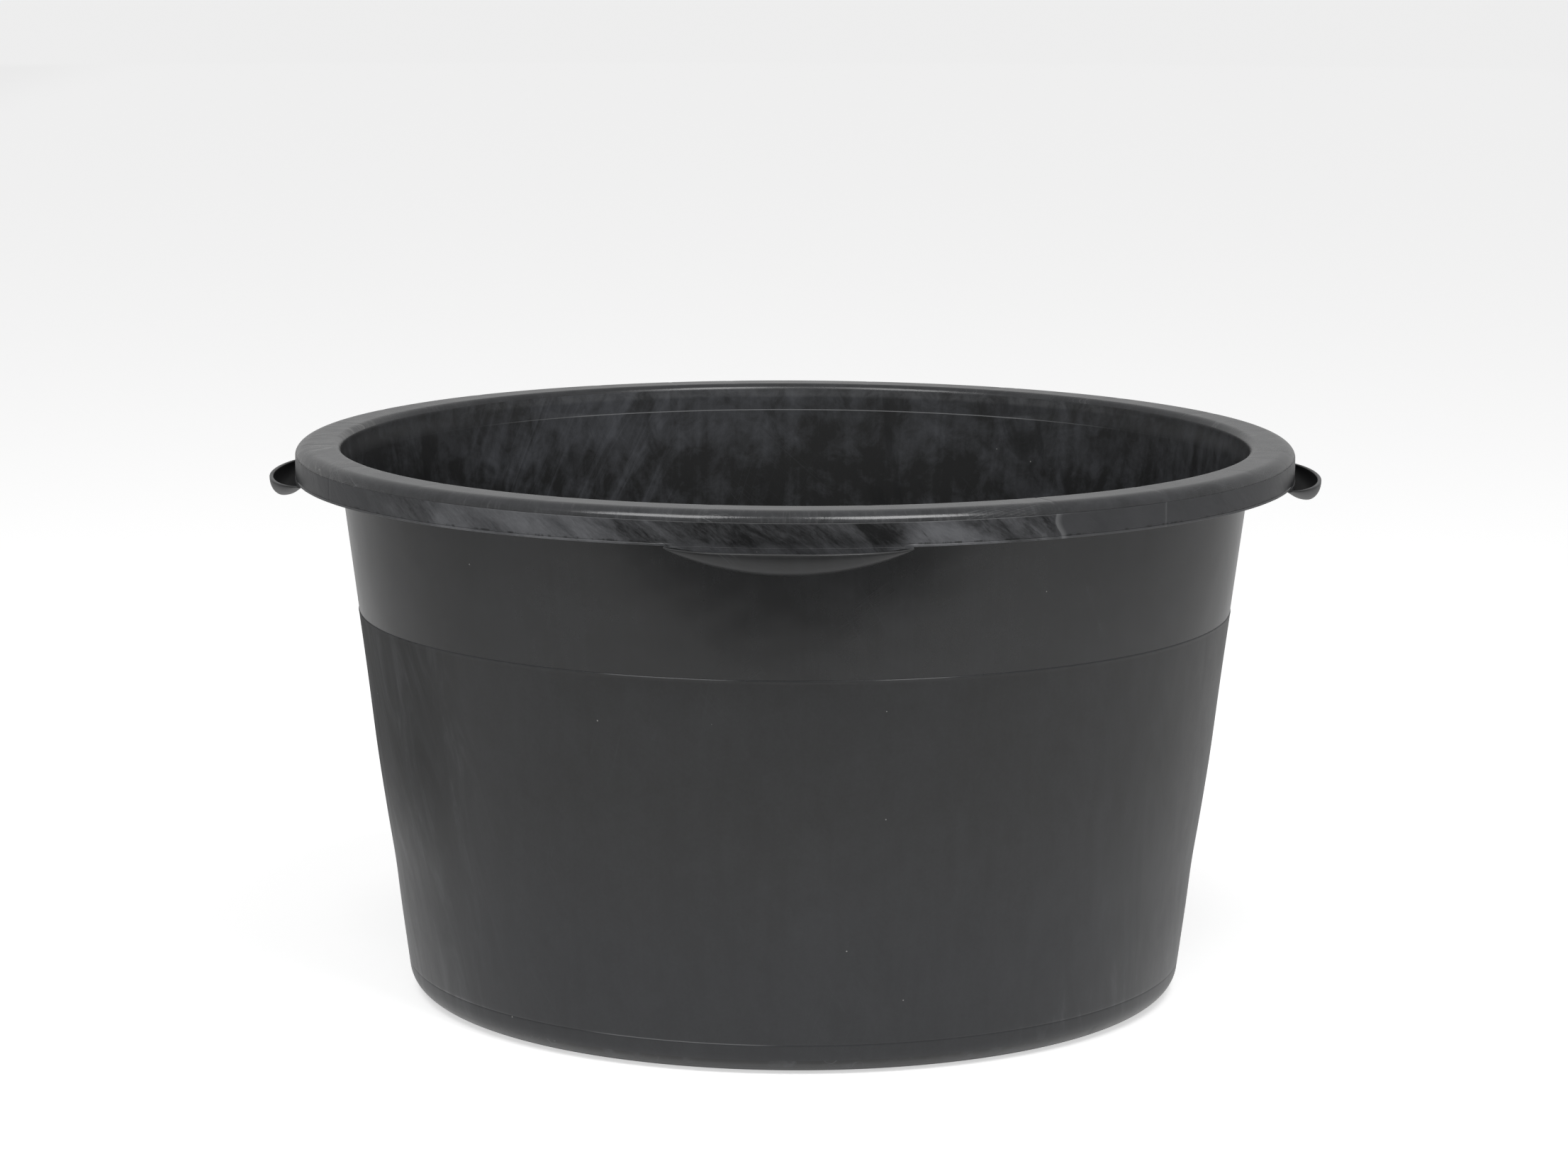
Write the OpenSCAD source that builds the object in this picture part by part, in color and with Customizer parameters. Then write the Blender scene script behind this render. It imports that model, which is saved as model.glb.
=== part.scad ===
// Round mortar mixing tub of about 90 litres.
// The tub is one moulding, drawn here as its named regions, which meet face to face.
// Origin: centre of the base, on the plane it stands on. +Z is up and -Y is the front.

/* [Overall] */
// Height from the ground to the rim's top face
total_h = 388; // [360:1:420]
// Outer radius of the rim's skirt
rim_r = 350; // [349:0.5:352]
// Height of the groove that rings the tub just above its bottom corner
groove_z = 21; // [21:1:26]

/* [Wall] */
// Outer radius of the upper wall, level with the underside of the rim's top face
wall_top_r = 321.2; // [318:0.1:322]
// How far the upper wall and the whole inside lean out, per millimetre of height
draft = 0.128; // [0.12:0.001:0.13]
// Thickness of the upper wall
wall_t = 3.2; // [2.8:0.1:3.6]
// Distance of the outer step below the rim's top face
step_drop = 116.5; // [100:0.5:140]
// How far the lower wall stands proud at the outer step
step_out = 0.4; // [0.4:0.1:2]
// Distance of the inner line below the rim's top face
inner_line_drop = 20; // [16:0.5:24]
// How far the inside narrows at the inner line
inner_line_t = 0.6; // [0.3:0.1:0.8]

/* [Base] */
// Outer radius of the lower wall at the groove
groove_r = 274; // [272.5:0.5:276]
// Radius of the rounded bottom corner
corner_r = 18; // [15:0.5:19]
// Thickness of the floor plate
floor_t = 4; // [3:0.5:5]
// Height of the floor plate's underside above the ground
floor_lift = 2; // [1:0.5:3]
// Radius where the floor plate meets the bottom corner
floor_r = 240; // [236:1:243]
// Width of the flat ring that the tub stands on
foot_w = 9; // [6:0.5:10]
// Radius of the gate mark under the middle of the floor
gate_r = 9; // [6:0.5:12]

/* [Rim] */
// Thickness of the rim's top face and of the skirt
rim_t = 3; // [2.5:0.1:3.5]
// Height from the rim's top face down to the skirt's lower edge
skirt_h = 23.4; // [22:0.2:26]
// Width of the rounded outer shoulder, inwards from the skirt
shoulder_w = 10; // [8:0.5:12]
// Height of the rounded outer shoulder
shoulder_h = 7.5; // [6:0.5:8.5]
// Radius of the rounded inner edge
crest_r = 5.5; // [4.5:0.5:6]
// Height of the bead along the skirt's lower edge
bead_h = 1.7; // [1.2:0.1:2.2]
// Number of stiffening ribs under the rim
rib_count = 20; // [12:4:28]
// Thickness of one stiffening rib
rib_t = 2.5; // [2:0.1:3]
// Depth of a stiffening rib at the wall, from the rim's top face
rib_depth = 20; // [14:0.5:21]

/* [Ears] */
// How far an ear reaches out past the skirt
ear_out = 19.2; // [14:0.2:20]
// Depth of an ear's bowl below its upper edge, at its middle
ear_depth = 15.1; // [12:0.1:18]
// Drop from the skirt's lower edge to the ear's upper edge
ear_drop = 0.9; // [0.6:0.1:1.5]
// Thickness of an ear's shell
ear_t = 2.7; // [2:0.1:3]
// Half of the angle that an ear spans round the rim
ear_half = 13.1; // [12.9:0.05:13.2]

/* [Hidden] */
$fn = 180;
black = [0.10, 0.105, 0.11];

// Heights, from the ground
floor_top = floor_lift + floor_t;
step_z = total_h - step_drop;
inner_line_z = total_h - inner_line_drop;
skirt_z = total_h - skirt_h;
shoulder_z = total_h - shoulder_h;
under_z = total_h - rim_t;
neck_z = total_h - 6;
ear_z = skirt_z - ear_drop;

// Radii
skirt_r = rim_r - rim_t;
groove_d = 0.3;
bead_out = 0.3;
lean = atan(draft);
lower_draft = (outer_r(step_z) + step_out - groove_r) / (step_z - groove_z);
lower_lean = atan(lower_draft);

// An ear's upper edge follows an ellipse in plan
ear_long = 80.6;
ear_short = 31.6;
ear_mid_r = rim_r + ear_out - ear_short;
ear_low_at = 0.55;
ear_steps = 24;
ear_arc = 6;

// Outer radius of the upper wall at a height, and the inner radius of the whole wall
function outer_r(z) = wall_top_r - draft * (total_h - rim_t - z);
function inner_r(z) = outer_r(z) - wall_t;
function neck_inner_r(z) = inner_r(z) + inner_line_t;
function lower_r(z) = groove_r + lower_draft * (z - groove_z);

// Points along an arc, and along a quarter or more of an ellipse
function arc(c, r, a0, a1, n) =
    [for (i = [0:n]) let (a = a0 + (a1 - a0) * i / n) c + r * [cos(a), sin(a)]];
function oval(c, rx, rz, a0, a1, n) =
    [for (i = [0:n]) let (a = a0 + (a1 - a0) * i / n) [c.x + rx * cos(a), c.y + rz * sin(a)]];

// The shoulder's outside and inside, which the rim's top face and the skirt share
shoulder_c = [rim_r - shoulder_w, shoulder_z];
shoulder_split = 40;
function shoulder_out(a0, a1) = oval(shoulder_c, shoulder_w, shoulder_h, a0, a1, 6);
function shoulder_in(a0, a1) = oval(shoulder_c, shoulder_w - rim_t, shoulder_h - rim_t, a0, a1, 5);

// The fillet between the wall and the underside of the rim's top face
fillet = 2;
wall_fillet_c = [outer_r(under_z - fillet) + fillet / cos(lean), under_z - fillet];
wall_fillet = concat(arc(wall_fillet_c, fillet, 90, 180 - lean, 5), [[outer_r(neck_z), neck_z]]);

module floor_plate() {
    color(black)
    rotate_extrude()
    polygon([
        [0, floor_lift + 0.6],
        [gate_r - 3, floor_lift + 0.6],
        [gate_r - 3, floor_lift + 1.2],
        [gate_r, floor_lift + 1.2],
        [gate_r, floor_lift],
        [floor_r, floor_lift],
        [floor_r, floor_top],
        [0, floor_top]
    ]);
}

module base_band() {
    // The corner's arc runs from the leaning wall to the flat foot
    corner_c = [lower_r(corner_r) - corner_r / cos(lower_lean), corner_r];
    // The inside's arc runs from the floor to the leaning wall
    inside_r = 12;
    inside_z = floor_top + inside_r;
    inside_c = [inner_r(inside_z) - inside_r / cos(lean), inside_z];
    foot_in = corner_c.x - foot_w;
    color(black)
    rotate_extrude()
    polygon(concat(
        [
            [floor_r, floor_top],
            [floor_r, floor_lift],
            [foot_in - floor_lift, floor_lift],
            [foot_in, 0]
        ],
        arc(corner_c, corner_r, 270, 360 - lower_lean, 12),
        [
            [lower_r(groove_z - 2 * groove_d), groove_z - 2 * groove_d],
            [groove_r - groove_d, groove_z],
            [inner_r(groove_z), groove_z]
        ],
        arc(inside_c, inside_r, 360 - lean, 270, 10)
    ));
}

module lower_wall() {
    proud_r = outer_r(step_z) + step_out;
    bevel = 0.3;
    color(black)
    rotate_extrude()
    polygon([
        [inner_r(groove_z), groove_z],
        [groove_r - groove_d, groove_z],
        [lower_r(groove_z + groove_d), groove_z + groove_d],
        [proud_r - bevel * lower_draft, step_z - bevel],
        [proud_r - bevel, step_z],
        [inner_r(step_z), step_z]
    ]);
}

module upper_wall() {
    color(black)
    rotate_extrude()
    polygon([
        [inner_r(step_z), step_z],
        [outer_r(step_z), step_z],
        [outer_r(neck_z), neck_z],
        [neck_inner_r(neck_z), neck_z],
        [neck_inner_r(inner_line_z + 0.3), inner_line_z + 0.3],
        [inner_r(inner_line_z), inner_line_z]
    ]);
}

module rim_flange() {
    crest_z = total_h - crest_r;
    crest_c = [neck_inner_r(crest_z) + crest_r / cos(lean), crest_z];
    color(black)
    rotate_extrude()
    polygon(concat(
        [[neck_inner_r(neck_z), neck_z]],
        arc(crest_c, crest_r, 180 - lean, 90, 10),
        shoulder_out(90, shoulder_split),
        shoulder_in(shoulder_split, 90),
        wall_fillet
    ));
}

module rim_skirt() {
    bead_z = skirt_z + bead_h;
    color(black)
    rotate_extrude()
    polygon(concat(
        [
            [skirt_r, skirt_z],
            [rim_r, skirt_z],
            [rim_r + bead_out, skirt_z + 0.4],
            [rim_r + bead_out, bead_z - 0.3],
            [rim_r - bead_out, bead_z],
            [rim_r, bead_z + 0.4]
        ],
        shoulder_out(0, shoulder_split),
        shoulder_in(shoulder_split, 0)
    ));
}

// The channel under the rim, between the wall and the skirt, as deep as the ribs
module rim_channel() {
    rib_low = total_h - rib_depth;
    rotate_extrude()
    polygon(concat(
        [[outer_r(rib_low), rib_low], [skirt_r, rib_low + 3]],
        shoulder_in(0, shoulder_split),
        shoulder_in(shoulder_split, 90),
        wall_fillet
    ));
}

module rim_ribs() {
    rib_step = 360 / rib_count;
    color(black)
    for (i = [0:rib_count - 1])
        intersection() {
            rim_channel();
            rotate([0, 0, rib_step * (i + 0.5)])
            translate([outer_r(0), -rib_t / 2, total_h - rib_depth - 1])
            cube([rim_r - outer_r(0), rib_t, rib_depth]);
        }
}

// Radius of an ear's upper edge at an angle from its middle
function ear_edge_r(a) =
    let (
        sx = pow(sin(a) / ear_long, 2) + pow(cos(a) / ear_short, 2),
        b = ear_mid_r * cos(a) / pow(ear_short, 2),
        c = pow(ear_mid_r / ear_short, 2) - 1
    )
    (b + sqrt(max(b * b - sx * c, 0))) / sx;

// An ear's bowl is deepest at its middle and rises in a shallow arc to both ends
function ear_low(a) = max(ear_depth * (1 - pow(a / (ear_half + 0.25), 2)), 0.9);

// One side of an ear's shell in its radial section, from the skirt down and out to the edge
function ear_side(r0, r1, low) =
    let (mid = r0 + ear_low_at * (r1 - r0), rise = 0.55 * low)
    concat(
        [[r0, skirt_z]],
        oval([mid, ear_z - low + rise], mid - r0, rise, 180, 270, ear_arc),
        oval([mid, ear_z], r1 - mid, low, 270, 360, ear_arc)
    );

// Both sides have the same number of points, so the shell closes in quads
function ear_outer(a) = ear_side(skirt_r, max(ear_edge_r(a), rim_r + 0.8), ear_low(a));
function ear_inner(a) =
    ear_side(rim_r, max(ear_edge_r(a) - ear_t, rim_r + 0.4), max(ear_low(a) - ear_t, 0.4));

function round_z(p, a) = [p.x * sin(a), -p.x * cos(a), p.y];

// The ear at the front: sections round the tub's axis, each an outer and an inner side
module ear() {
    side = 2 * ear_arc + 3;
    ring = 2 * side;
    points = [
        for (i = [0:ear_steps])
            let (a = ear_half * (2 * i / ear_steps - 1))
            for (p = concat(ear_outer(a), [for (j = [1:side]) ear_inner(a)[side - j]]))
                round_z(p, a)
    ];
    shell = [
        for (i = [0:ear_steps - 1])
            for (j = [0:ring - 1])
                let (
                    k = (j + 1) % ring,
                    p = i * ring,
                    q = p + ring
                )
                each [[p + j, q + k, p + k], [p + j, q + j, q + k]]
    ];
    last = ear_steps * ring;
    ends = [
        for (j = [0:side - 2])
            let (k = ring - 1 - j)
            each [
                [j, j + 1, k - 1],
                [j, k - 1, k],
                [last + j, last + k - 1, last + j + 1],
                [last + j, last + k, last + k - 1]
            ]
    ];
    color(black)
    polyhedron(points, concat(shell, ends));
}

module front_ear() {
    ear();
}

module right_ear() {
    rotate([0, 0, 90]) ear();
}

module rear_ear() {
    rotate([0, 0, 180]) ear();
}

module left_ear() {
    rotate([0, 0, 270]) ear();
}

floor_plate();
base_band();
lower_wall();
upper_wall();
rim_flange();
rim_skirt();
rim_ribs();
front_ear();
right_ear();
rear_ear();
left_ear();
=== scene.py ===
"""A round mortar mixing tub: its final meshes and finishes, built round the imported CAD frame.

Angles run round the tub's axis from the front, towards the right. Profiles are in millimetres, as
(radius, height) points, and become metres when their mesh is made.
"""

import math

import bmesh
import bpy
import numpy as np
from mathutils import Matrix, Vector


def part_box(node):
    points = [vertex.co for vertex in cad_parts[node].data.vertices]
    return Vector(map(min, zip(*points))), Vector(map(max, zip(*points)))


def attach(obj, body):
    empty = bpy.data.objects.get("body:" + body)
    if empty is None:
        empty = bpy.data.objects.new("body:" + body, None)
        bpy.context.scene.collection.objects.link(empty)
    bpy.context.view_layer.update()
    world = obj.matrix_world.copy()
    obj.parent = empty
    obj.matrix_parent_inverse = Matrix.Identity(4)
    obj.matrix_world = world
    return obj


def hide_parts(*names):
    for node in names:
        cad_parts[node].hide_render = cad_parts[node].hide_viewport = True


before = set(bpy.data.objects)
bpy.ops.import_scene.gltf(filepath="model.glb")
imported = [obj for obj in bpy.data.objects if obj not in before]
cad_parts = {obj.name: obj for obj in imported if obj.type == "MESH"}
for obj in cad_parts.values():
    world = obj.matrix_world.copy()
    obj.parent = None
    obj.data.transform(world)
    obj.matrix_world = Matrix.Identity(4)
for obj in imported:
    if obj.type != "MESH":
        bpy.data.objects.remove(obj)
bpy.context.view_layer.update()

MM = 0.001


def top_of(node):
    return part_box(node)[1].z / MM


def foot_of(node):
    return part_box(node)[0].z / MM


# ---------- dimensions, in millimetres

# Heights come from the CAD nodes' boxes. The other sizes repeat the CAD's own values.
TOTAL_H = top_of("rim_flange")
STEP_Z = top_of("lower_wall")
GROOVE_Z = foot_of("lower_wall")
SKIRT_Z = foot_of("rim_skirt")
NECK_Z = top_of("upper_wall")
FLOOR_TOP = top_of("floor_plate")
FLOOR_UNDER = foot_of("floor_plate")
FLOOR_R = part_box("floor_plate")[1].x / MM

RIM_R = 350.0
RIM_T = 3.0
SKIRT_R = RIM_R - RIM_T
WALL_TOP_R = 321.2
DRAFT = 0.128
WALL_T = 3.2
STEP_OUT = 0.4
LINE_DROP = 20.0
LINE_Z = TOTAL_H - LINE_DROP
LINE_T = 0.6
GROOVE_R = 274.0
GROOVE_D = 0.3
CORNER_R = 18.0
FOOT_W = 9.0
GATE_R = 9.0
CREST_R = 5.5
SHOULDER_W = 10.0
SHOULDER_H = 7.5
SHOULDER_SPLIT = 40
SHOULDER_Z = TOTAL_H - SHOULDER_H
UNDER_Z = TOTAL_H - RIM_T
FILLET = 2.0
BEAD_H = 1.7
BEAD_OUT = 0.3
BEAD_MIDDLE, BEAD_HALF = 0.75, 0.85
NOTCH_DEPTH, NOTCH_HALF = 0.28, 0.24
RIB_COUNT = 20
RIB_T = 2.5
RIB_DEPTH = 20.0
RIB_LOW = TOTAL_H - RIB_DEPTH

EAR_OUT = 19.2
EAR_DEPTH = 15.1
EAR_DROP = 0.9
EAR_Z = SKIRT_Z - EAR_DROP
EAR_T = 2.7
EAR_HALF = 13.1
EAR_LONG = 80.6
EAR_SHORT = 31.6
EAR_MID_R = RIM_R + EAR_OUT - EAR_SHORT
EAR_LOW_AT = 0.55
EAR_FADE = 1.2
EAR_LEAST, EAR_CAP = 0.4, 0.28
EARS = {"front": 0, "right": 90, "rear": 180, "left": 270}

LEAN = math.atan(DRAFT)


def wall_out(z):
    return WALL_TOP_R - DRAFT * (UNDER_Z - z)


def wall_in(z):
    return wall_out(z) - WALL_T


def neck_in(z):
    return wall_in(z) + LINE_T


PROUD_R = wall_out(STEP_Z) + STEP_OUT
LOW_DRAFT = (PROUD_R - GROOVE_R) / (STEP_Z - GROOVE_Z)
LOW_LEAN = math.atan(LOW_DRAFT)


def low_out(z):
    return GROOVE_R + LOW_DRAFT * (z - GROOVE_Z)


# ---------- the moulding's own unevenness

# Places where two streams of plastic met round the rim, as (angle, depth)
WELDS = ((29.5, 0.34), (44.4, 0.16), (-62.7, 0.14), (-83.0, 0.2), (-102.9, 0.2), (-121.5, 0.16),
         (74.5, 0.12), (118.0, 0.22), (151.0, 0.16), (197.0, 0.18))
CREASE_AT, FAINT_CREASE_AT = WELDS[0][0], WELDS[1][0]
WELD_HALF = 0.22
SINK_DEPTH = 0.1
SINK_HALF = 0.55

# Sections round the tub, in degrees: the usual step, the extra ones and the least step kept
SECTION_STEP = 0.75
WELD_CUTS = (-0.6, -0.4, -0.25, -0.12, 0, 0.12, 0.25, 0.4, 0.6)
RIB_CUTS = (-1.1, -0.55, -0.28, 0.28, 0.55, 1.1)
LEAST_STEP = 0.04

# The rim's waves, as (depth, waves round the tub, angle of a crest)
RIM_LOBES = ((0.12, 2, 70), (0.1, 3, 80))
# The wall's swell and hollow, as (depth, height, half of their spread)
WALL_SWELLS = ((0.85, 168, 45), (-0.55, 92, 22))
RIPPLE, RIPPLE_Z, RIPPLE_SPREAD = 0.2, 185, 95
RIM_SAG, RIM_SAG_AT, RIM_RIPPLE = 0.3, 20, 0.12


def rib_angle(i):
    """The angle of a stiffening rib's middle."""
    return (i + 0.5) * 360 / RIB_COUNT


def ring_angles():
    """The angles of every revolved piece's sections, finer at the welds and over the ribs."""
    angles = list(np.arange(0, 360, SECTION_STEP))
    angles += [(weld + cut) % 360 for weld, _ in WELDS for cut in WELD_CUTS]
    angles += [(rib_angle(i) + cut) % 360 for i in range(RIB_COUNT) for cut in RIB_CUTS]
    angles = np.sort(np.array(angles))
    return angles[np.diff(angles, append=angles[0] + 360) > LEAST_STEP]


ANGLES = ring_angles()


def apart(a, b):
    """Degrees between two angles, from -180 to 180."""
    return (a - b + 180) % 360 - 180


def waves(seed, count, lowest, highest, a, z, tilt=0.012):
    """A smooth random surface round the tub, within -1 to 1: whole waves with seeded phases."""
    draw = np.random.default_rng(seed)
    total = np.zeros(np.broadcast(a, z).shape)
    for _ in range(count):
        turns = draw.integers(lowest, highest + 1)
        phase = draw.uniform(0, 360)
        lean = draw.uniform(-tilt, tilt)
        total = total + np.sin(np.radians(turns * a + phase) + lean * z)
    return total / count


def ear_zone(a):
    """1 along an ear, 0 away from it, with a short fade at its ends."""
    a = np.asarray(a, float)
    off = np.abs(apart(a, np.round(a / 90) * 90))
    return np.clip((EAR_HALF + EAR_FADE - off) / (2 * EAR_FADE), 0, 1)


def lobes(a, count, crest):
    """Whole waves round the tub, from -1 to 1, with a crest at an angle."""
    return np.cos(np.radians(count * (a - crest)))


def bell(value, middle, spread):
    """1 at the middle, falling smoothly to 0 on both sides."""
    return np.exp(-((value - middle) / spread) ** 2)


def warp(r, z, a):
    """How far a point of the moulding is off its drawn place. The rim only moves in and down."""
    high = np.clip(z / TOTAL_H, 0, 1)
    out_of_round = sum(depth * (lobes(a, count, at) - 1) for depth, count, at in RIM_LOBES)
    swell = sum(depth * bell(z, middle, spread) for depth, middle, spread in WALL_SWELLS)
    ripple = RIPPLE * bell(z, RIPPLE_Z, RIPPLE_SPREAD) * waves(5, 9, 2, 11, a, z)
    at_rim = np.clip((z - (TOTAL_H - 30)) / 25, 0, 1) * np.clip((r - 300) / 20, 0, 1)
    sag = RIM_SAG * (1 - lobes(a, 2, RIM_SAG_AT)) / 2
    sag = sag + RIM_RIPPLE * (1 + waves(11, 6, 4, 17, a, 0 * z))
    return high ** 2 * out_of_round + swell + ripple, -at_rim * sag


def place(r, z, a):
    """Points in metres for profile points at angles in degrees, with the tub's unevenness."""
    r, z, a = np.broadcast_arrays(r, z, a)
    dr, dz = warp(r, z, a)
    turn = np.radians(a)
    return np.stack([(r + dr) * np.sin(turn), -(r + dr) * np.cos(turn), z + dz], -1) * MM


# ---------- profile and mesh helpers

def arc(centre, rx, rz, a0, a1, steps):
    """Points (radius, height) along an ellipse's arc, both ends included."""
    turn = np.radians(np.linspace(a0, a1, steps + 1))
    return np.stack([centre[0] + rx * np.cos(turn), centre[1] + rz * np.sin(turn)], -1)


def straight(start, end, steps):
    """Points along a straight line, both ends included."""
    return np.linspace(start, end, steps + 1)


def chain(*runs):
    """Joins runs of points into one closed outline, and drops points that repeat."""
    points = np.concatenate([np.atleast_2d(np.asarray(run, float)) for run in runs])
    keep = np.linalg.norm(points - np.roll(points, 1, 0), axis=1) > 1e-4
    return points[keep]


def add_object(name, data):
    thing = bpy.data.objects.new(name, data)
    bpy.context.scene.collection.objects.link(thing)
    return thing


def make_mesh(name, vertices, faces, finishes, finish_of, sharp=32):
    """A smooth-shaded object from vertices in metres. finish_of gives each face's finish number."""
    mesh = bpy.data.meshes.new(name)
    mesh.from_pydata(vertices.tolist(), [], faces.tolist() if hasattr(faces, "tolist") else faces)
    for finish in finishes:
        mesh.materials.append(finish)
    mesh.polygons.foreach_set("material_index", np.asarray(finish_of, np.int32))
    mesh.validate()
    mesh.shade_smooth()
    mesh.set_sharp_from_angle(angle=math.radians(sharp))
    return add_object(name, mesh)


def grid_faces(rows, columns, wrap_rows):
    """Quads over a grid of points whose columns close on themselves."""
    last = rows if wrap_rows else rows - 1
    i, j = np.meshgrid(np.arange(last), np.arange(columns), indexing="ij")
    k, m = (i + 1) % rows, (j + 1) % columns
    corners = (i * columns + j, k * columns + j, k * columns + m, i * columns + m)
    return np.stack(corners, -1).reshape(-1, 4)


def revolve(name, outline, finishes, finish_at, reshape=None):
    """Turns a closed outline round the axis. The outline runs counter-clockwise in (radius,
    height). reshape(r, z, a) may return the outline changed for each angle. finish_at(r, z) picks
    the finish from the middle of a face."""
    a = ANGLES[:, None]
    r = np.broadcast_to(outline[:, 0], (len(ANGLES), len(outline)))
    z = np.broadcast_to(outline[:, 1], r.shape)
    if reshape:
        r, z = reshape(r, z, np.broadcast_to(a, r.shape))
    vertices = place(r, z, a).reshape(-1, 3)
    middle = (outline + np.roll(outline, -1, 0)) / 2
    picked = [finish_at(*point) for point in middle]
    faces = grid_faces(len(ANGLES), len(outline), True)
    piece = make_mesh(name, vertices, faces, finishes, np.tile(picked, len(ANGLES)))
    if outline[:, 0].min() == 0:
        close_axis(piece)
    return piece


ON_AXIS = 1e-7
JOIN_WITHIN = 1e-6


def close_axis(piece):
    """Joins the points that lie on the axis, where a disc's sections meet."""
    mesh = bmesh.new()
    mesh.from_mesh(piece.data)
    on_axis = [vertex for vertex in mesh.verts if vertex.co.xy.length < ON_AXIS]
    bmesh.ops.remove_doubles(mesh, verts=on_axis, dist=JOIN_WITHIN)
    mesh.to_mesh(piece.data)
    mesh.free()


# ---------- finishes

# About the wall's radius in metres, so that a streak's scale is close to its waves a metre
STREAK_R = 0.33
# A Mix node's colour sockets share their names with its other sockets, so they go by number
MIX_INPUTS = (0, 6, 7)
MIX_OUTPUT = 2
# Raw noise runs from about 0.25 to 0.75
NOISE_MIDDLE = 0.5
NOISE_GAIN = 4.0
RANGE_SOCKETS = ("From Min", "From Max", "To Min", "To Max")
SPECK_EDGE = 1.6
SCRATCH_PATCHES = 14.0


class Finish:
    """A material's node tree, with short calls for the nodes that the finishes share."""

    def __init__(self, name):
        self.material = bpy.data.materials.new(name)
        self.material.use_nodes = True
        self.tree = self.material.node_tree
        self.tree.nodes.clear()
        self.shader = self.add("ShaderNodeBsdfPrincipled")
        output = self.add("ShaderNodeOutputMaterial")
        self.tree.links.new(self.shader.outputs["BSDF"], output.inputs["Surface"])
        self.place = self.add("ShaderNodeTexCoord").outputs["Object"]
        split = self.add("ShaderNodeSeparateXYZ")
        self.feed(split.inputs[0], self.place)
        self.x, self.y, self.z = split.outputs
        flat = self.vector("MULTIPLY", self.place, (1, 1, 0))
        self.radius = self.vector("LENGTH", flat)
        self.round = self.vector("NORMALIZE", flat)
        self.run = self.math("SUBTRACT", self.z, self.radius)
        front = self.math("MULTIPLY", self.y, -1.0)
        self.azimuth = self.math("MULTIPLY", self.math("ARCTAN2", self.x, front), 180 / math.pi)

    def add(self, kind, **settings):
        node = self.tree.nodes.new(kind)
        for key, value in settings.items():
            setattr(node, key, value)
        return node

    def feed(self, socket, value):
        if isinstance(value, bpy.types.NodeSocket):
            self.tree.links.new(value, socket)
        else:
            socket.default_value = value

    def fed(self, node, **values):
        """Feeds a node's named sockets, and gives its first output."""
        for name, value in values.items():
            self.feed(node.inputs[name], value)
        return node.outputs[0]

    def math(self, operation, a, b=0.0, clamp=False):
        node = self.add("ShaderNodeMath", operation=operation, use_clamp=clamp)
        self.feed(node.inputs[0], a)
        self.feed(node.inputs[1], b)
        return node.outputs[0]

    def vector(self, operation, a, b=(0, 0, 0)):
        node = self.add("ShaderNodeVectorMath", operation=operation)
        self.feed(node.inputs[0], a)
        self.feed(node.inputs[1], b)
        return node.outputs["Value" if operation == "LENGTH" else "Vector"]

    def ring(self, lean=0.0, along=0.1):
        """Coordinates round the tub for streaks, which lean by radians for each metre down the
        profile. along says how fast they change down it."""
        turn = self.add("ShaderNodeVectorRotate", rotation_type="Z_AXIS")
        turned = self.fed(turn, Vector=self.round, Angle=self.math("MULTIPLY", self.run, lean))
        down = self.add("ShaderNodeCombineXYZ")
        self.feed(down.inputs[2], self.math("MULTIPLY", self.run, along))
        round_tub = self.vector("MULTIPLY", turned, (STREAK_R, STREAK_R, 0))
        return self.vector("ADD", round_tub, down.outputs[0])

    def noise(self, where, scale, detail=3.0, rough=0.5, distortion=0.0):
        """Raw noise, with its scale in waves a metre."""
        return self.fed(self.add("ShaderNodeTexNoise"), Vector=where, Scale=scale, Detail=detail,
                        Roughness=rough, Distortion=distortion)

    def swing(self, where, scale, detail=3.0, rough=0.5, distortion=0.0):
        """noise(), stretched to run from about -1 to 1."""
        raw = self.noise(where, scale, detail, rough, distortion)
        return self.math("MULTIPLY", self.math("SUBTRACT", raw, NOISE_MIDDLE), NOISE_GAIN)

    def cells(self, where, scale, wanted):
        node = self.add("ShaderNodeTexVoronoi")
        self.fed(node, Vector=where, Scale=scale)
        return node.outputs[wanted]

    def span(self, value, low, high, to_low=0.0, to_high=1.0):
        """Maps low..high smoothly to to_low..to_high, and holds outside."""
        node = self.add("ShaderNodeMapRange", interpolation_type="SMOOTHSTEP")
        self.feed(node.inputs["Value"], value)
        for socket, number in zip(RANGE_SOCKETS, (low, high, to_low, to_high)):
            self.feed(node.inputs[socket], number)
        return node.outputs[0]

    def heights(self, low, high, to_low=0.0, to_high=1.0):
        """span() over heights in millimetres."""
        return self.span(self.z, low * MM, high * MM, to_low, to_high)

    def line(self, value, at, half, soft):
        """1 within half of a value, fading over soft."""
        off = self.math("ABSOLUTE", self.math("SUBTRACT", value, at))
        return self.span(off, half, half + soft, 1.0, 0.0)

    def level(self, at, half, soft):
        """line() at a height, all in millimetres."""
        return self.line(self.z, at * MM, half * MM, soft * MM)

    def sector(self, start, end, soft):
        """1 between two angles from the front, in degrees, fading over soft either side of each."""
        rise = self.span(self.azimuth, start - soft, start + soft)
        fall = self.span(self.azimuth, end - soft, end + soft, 1.0, 0.0)
        return self.math("MULTIPLY", rise, fall)

    def product(self, *factors):
        result = factors[0]
        for factor in factors[1:]:
            result = self.math("MULTIPLY", result, factor)
        return result

    def total(self, *terms, base=0.0, clamp=False):
        """The sum of a base and of (value, weight) terms."""
        result = base
        for i, (value, weight) in enumerate(terms):
            result = self.math("ADD", self.math("MULTIPLY", value, weight), result,
                               clamp=clamp and i == len(terms) - 1)
        return result

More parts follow.
